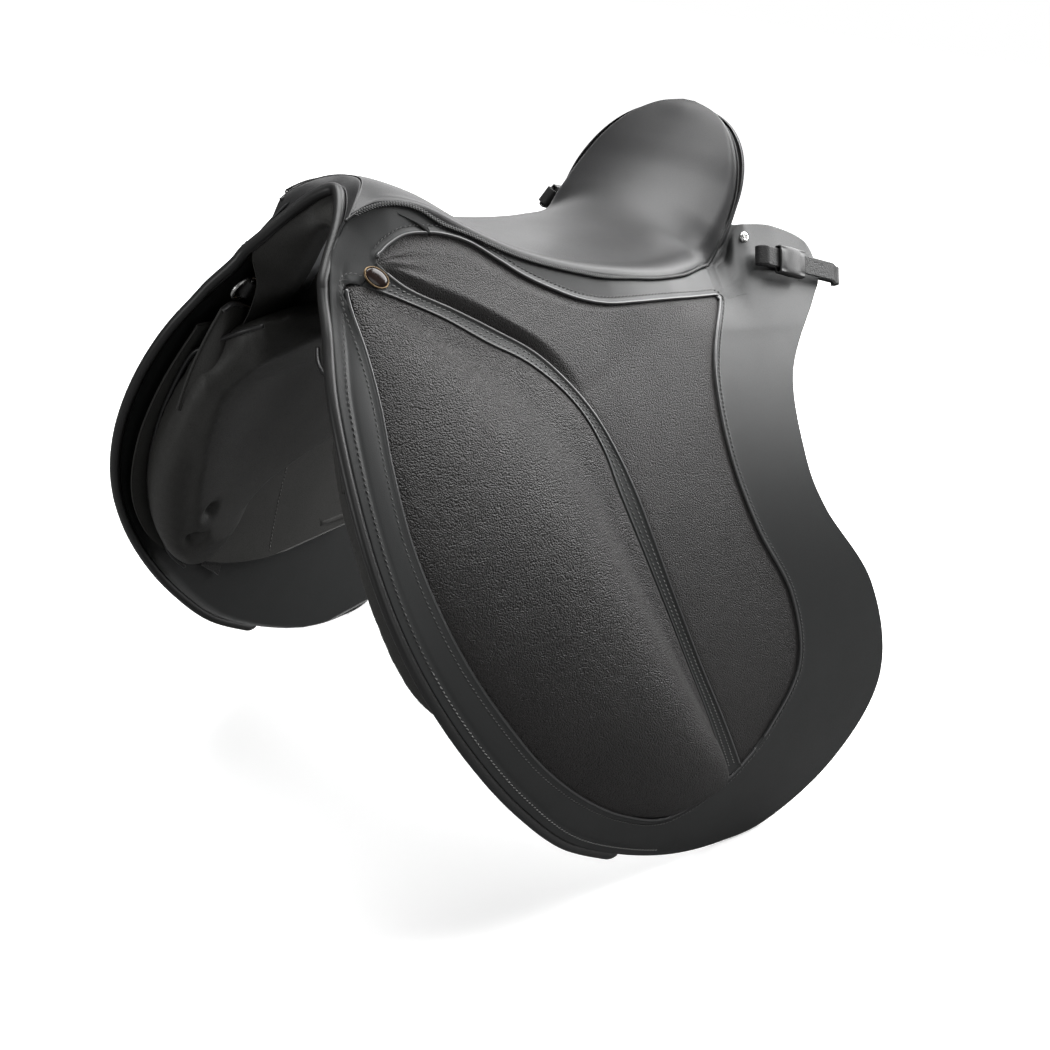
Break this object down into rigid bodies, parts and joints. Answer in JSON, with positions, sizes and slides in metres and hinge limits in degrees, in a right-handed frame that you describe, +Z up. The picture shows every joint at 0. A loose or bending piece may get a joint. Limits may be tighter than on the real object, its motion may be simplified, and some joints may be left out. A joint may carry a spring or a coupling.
{
  "type": "dressage saddle",
  "caption": "Dressage saddle with deep seat, domed outside knee blocks, long flaps that lift, girth straps, stirrup bars with catches, D-rings and rear strap loops.",
  "frame": {"origin": "on the middle plane, 9 mm above the middle of the seat", "axes": "+X to the horse's left (near side), -Y to the front (pommel), +Z up"},
  "size_m": [0.6254, 0.5882, 0.6396],
  "materials": {
    "seat_leather": "smooth and shiny",
    "flap_leather": "smooth with a fine grain",
    "grain_leather": "pebble grain",
    "grip_leather": "soft fine grain",
    "panel_leather": "soft and matt",
    "strap_leather": "waxed",
    "trim_leather": "rolled and polished",
    "foam": "open foam",
    "webbing": "woven",
    "laminated_wood": "varnished ply",
    "steel": "plain",
    "nickel": "nickel plated",
    "brass": "polished"
  },
  "bodies": {
    "saddle": {"seat_cover": "seat_leather", "seat_foam": "foam", "seat_webs": "webbing", "pommel_cap": "seat_leather", "arch_binding": "trim_leather", "cantle_back": "seat_leather", "tree_frame": "laminated_wood", "head_plate": "steel", "gullet_plate": "steel", "tree_point_l": "laminated_wood", "tree_point_r": "laminated_wood", "spring_steel_l": "steel", "spring_steel_r": "steel", "tree_rivets": "brass", "stirrup_bar_l": "steel", "stirrup_bar_r": "steel", "catch_pins": "steel", "girth_web_l": "webbing", "girth_web_r": "webbing", "panel_l": "panel_leather", "panel_r": "panel_leather", "gullet_lining": "panel_leather", "sweat_flap_l": "panel_leather", "sweat_flap_r": "panel_leather", "skirt_l": "flap_leather", "skirt_r": "flap_leather", "welt_l": "trim_leather", "welt_r": "trim_leather", "bar_tab_l": "strap_leather", "bar_tab_r": "strap_leather", "ring_tab_l": "strap_leather", "ring_tab_r": "strap_leather", "rear_screws": "nickel"},
    "flap_body_l": {"flap_l": "flap_leather", "facing_l": "flap_leather", "knee_block_l": "grain_leather", "calf_inlay_l": "grip_leather", "block_strip_l": "flap_leather", "flap_roll_l": "trim_leather", "stud_l": "brass"},
    "catch_body_l": {"bar_catch_l": "steel"},
    "ring_body_l": {"d_ring_l": "nickel"},
    "girth_front_body_l": {"billet_front_l": "strap_leather"},
    "girth_rear_body_l": {"billet_rear_l": "strap_leather"},
    "loop_body_l": {"rear_strap_l": "strap_leather"},
    "keeper_body_l": {"strap_keeper_l": "strap_leather"},
    "flap_body_r": {"flap_r": "flap_leather", "facing_r": "flap_leather", "knee_block_r": "grain_leather", "calf_inlay_r": "grip_leather", "block_strip_r": "flap_leather", "flap_roll_r": "trim_leather", "stud_r": "brass"},
    "catch_body_r": {"bar_catch_r": "steel"},
    "ring_body_r": {"d_ring_r": "nickel"},
    "girth_front_body_r": {"billet_front_r": "strap_leather"},
    "girth_rear_body_r": {"billet_rear_r": "strap_leather"},
    "loop_body_r": {"rear_strap_r": "strap_leather"},
    "keeper_body_r": {"strap_keeper_r": "strap_leather"}
  },
  "joints": [
    {"name": "flap_lift_l", "type": "hinge", "parent": "saddle", "child": "flap_body_l", "pos_m": [0.07887, 0, 0.01645], "axis": [-0.196, -0.9802, 0.0294], "range_deg": [0, 50]},
    {"name": "flap_lift_r", "type": "hinge", "parent": "saddle", "child": "flap_body_r", "pos_m": [-0.07887, 0, 0.01645], "axis": [-0.196, 0.9802, -0.0294], "range_deg": [0, 50]},
    {"name": "catch_turn_l", "type": "hinge", "parent": "saddle", "child": "catch_body_l", "pos_m": [0.07478, -0.09171, -0.03874], "axis": [-0.5083, 0.1272, 0.8517], "range_deg": [0, 70]},
    {"name": "catch_turn_r", "type": "hinge", "parent": "saddle", "child": "catch_body_r", "pos_m": [-0.07478, -0.09171, -0.03874], "axis": [-0.5083, -0.1272, -0.8517], "range_deg": [0, 70]},
    {"name": "ring_swing_l", "type": "hinge", "parent": "saddle", "child": "ring_body_l", "pos_m": [0.0532, -0.23, -0.04788], "axis": [-0.5367, 0.1323, 0.8333], "range_deg": [-40, 25]},
    {"name": "ring_swing_r", "type": "hinge", "parent": "saddle", "child": "ring_body_r", "pos_m": [-0.0532, -0.23, -0.04788], "axis": [-0.5367, -0.1323, -0.8333], "range_deg": [-40, 25]},
    {"name": "strap_swing_front_l", "type": "hinge", "parent": "saddle", "child": "girth_front_body_l", "pos_m": [0.1065, -0.05, -0.06627], "axis": [0.7935, -0.1409, 0.592], "range_deg": [-3, 3]},
    {"name": "strap_swing_front_r", "type": "hinge", "parent": "saddle", "child": "girth_front_body_r", "pos_m": [-0.1065, -0.05, -0.06627], "axis": [0.7935, 0.1409, -0.592], "range_deg": [-3, 3]},
    {"name": "strap_swing_rear_l", "type": "hinge", "parent": "saddle", "child": "girth_rear_body_l", "pos_m": [0.1265, 0.05, -0.06927], "axis": [0.7935, -0.1409, 0.592], "range_deg": [-3, 3]},
    {"name": "strap_swing_rear_r", "type": "hinge", "parent": "saddle", "child": "girth_rear_body_r", "pos_m": [-0.1265, 0.05, -0.06927], "axis": [0.7935, 0.1409, -0.592], "range_deg": [-3, 3]},
    {"name": "loop_lift_l", "type": "hinge", "parent": "saddle", "child": "loop_body_l", "pos_m": [0.1259, 0.18239, -0.01162], "axis": [0.4225, -0.1999, -0.884], "range_deg": [0, 12]},
    {"name": "loop_lift_r", "type": "hinge", "parent": "saddle", "child": "loop_body_r", "pos_m": [-0.1259, 0.18239, -0.01162], "axis": [0.4225, 0.1999, 0.884], "range_deg": [0, 12]},
    {"name": "keeper_slide_l", "type": "slide", "parent": "loop_body_l", "child": "keeper_body_l", "axis": [0.2337, 0.9664, -0.1069], "range_m": [-0.01, 0.04]},
    {"name": "keeper_slide_r", "type": "slide", "parent": "loop_body_r", "child": "keeper_body_r", "axis": [-0.2337, 0.9664, -0.1069], "range_m": [-0.01, 0.04]}
  ]
}
